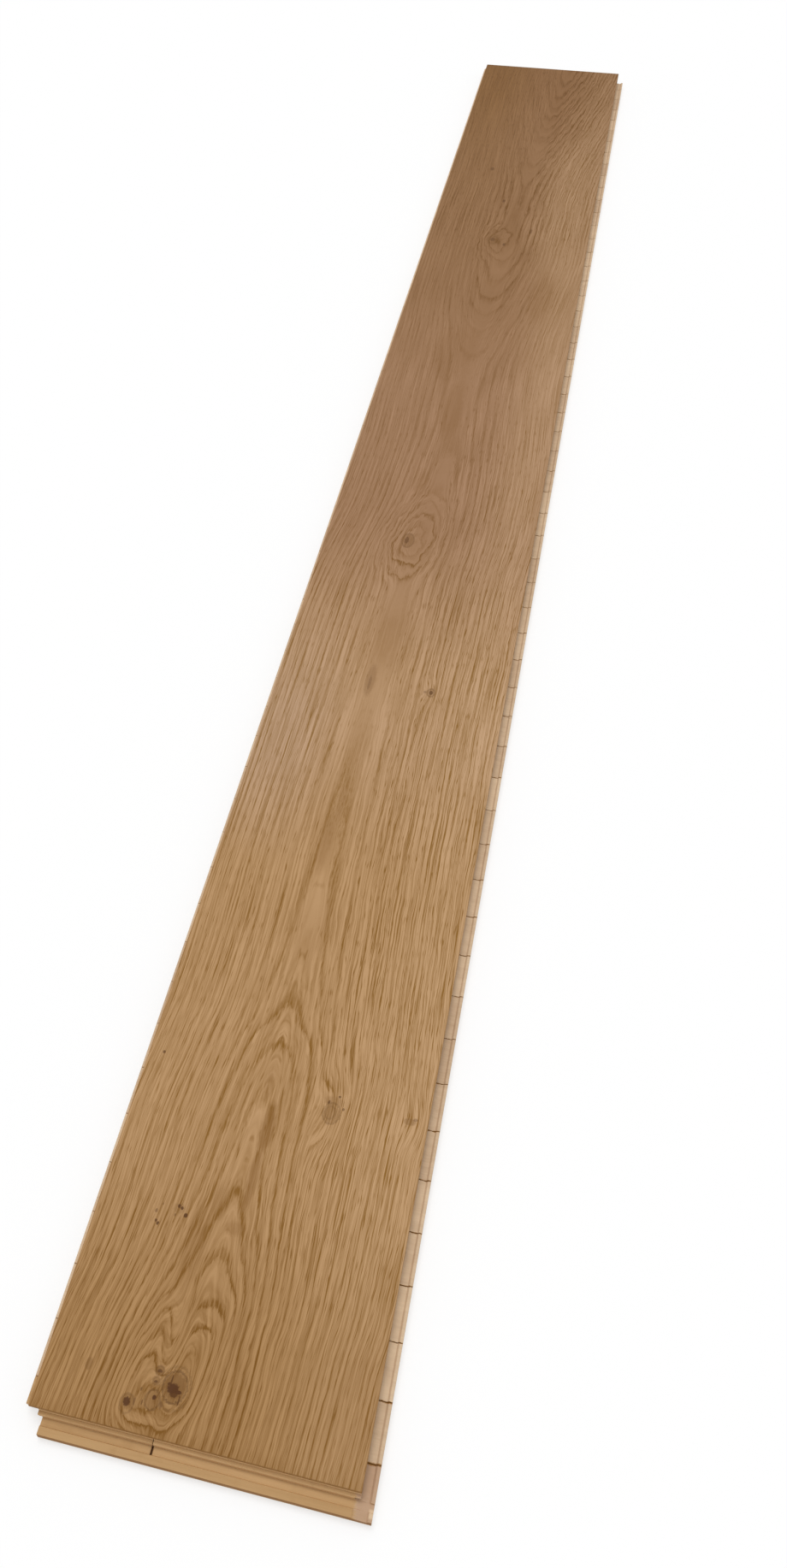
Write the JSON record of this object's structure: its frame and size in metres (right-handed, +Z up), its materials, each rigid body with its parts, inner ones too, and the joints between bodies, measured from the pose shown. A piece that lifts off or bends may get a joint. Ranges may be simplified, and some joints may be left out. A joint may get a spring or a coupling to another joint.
{
  "type": "parquet floorboard",
  "caption": "Long oak floorboard in layers, with a tongue and a hook on two edges and a groove and locking lips on the other two.",
  "frame": {"origin": "middle of the underside, below the middle of the board's overall outline", "axes": "+X across the board from the tongue edge to the groove edge, +Y along it from the lip end to the hook end, +Z up out of the walking face"},
  "size_m": [0.2008, 1.9118, 0.014],
  "materials": {
    "oak_face": "brushed oak veneer with a matt finish",
    "core_wood": "bare sawn softwood slats, milled at the edges",
    "backing_wood": "bare peeled softwood veneer"
  },
  "bodies": {
    "root": {"backing_veneer": "backing_wood", "core_slat_01": "core_wood", "core_slat_02_left": "core_wood", "core_slat_02_right": "core_wood", "core_slat_03": "core_wood", "core_slat_04": "core_wood", "core_slat_05": "core_wood", "core_slat_06": "core_wood", "core_slat_07": "core_wood", "core_slat_08": "core_wood", "core_slat_09": "core_wood", "core_slat_10": "core_wood", "core_slat_11": "core_wood", "core_slat_12": "core_wood", "core_slat_13": "core_wood", "core_slat_14": "core_wood", "core_slat_15": "core_wood", "core_slat_16": "core_wood", "core_slat_17": "core_wood", "core_slat_18": "core_wood", "core_slat_19": "core_wood", "core_slat_20": "core_wood", "core_slat_21": "core_wood", "core_slat_22": "core_wood", "core_slat_23": "core_wood", "core_slat_24": "core_wood", "core_slat_25": "core_wood", "core_slat_26": "core_wood", "core_slat_27": "core_wood", "core_slat_28": "core_wood", "core_slat_29": "core_wood", "core_slat_30": "core_wood", "core_slat_31": "core_wood", "core_slat_32": "core_wood", "core_slat_33": "core_wood", "core_slat_34": "core_wood", "core_slat_35": "core_wood", "core_slat_36": "core_wood", "core_slat_37": "core_wood", "core_slat_38": "core_wood", "core_slat_39": "core_wood", "core_slat_40": "core_wood", "core_slat_41": "core_wood", "core_slat_42": "core_wood", "core_slat_43": "core_wood", "core_slat_44": "core_wood", "core_slat_45": "core_wood", "core_slat_46": "core_wood", "core_slat_47": "core_wood", "core_slat_48": "core_wood", "core_slat_49": "core_wood", "core_slat_50": "core_wood", "core_slat_51": "core_wood", "core_slat_52": "core_wood", "core_slat_53": "core_wood", "core_slat_54": "core_wood", "core_slat_55": "core_wood", "core_slat_56": "core_wood", "core_slat_57": "core_wood", "oak_wear_layer": "oak_face"}
  },
  "joints": []
}
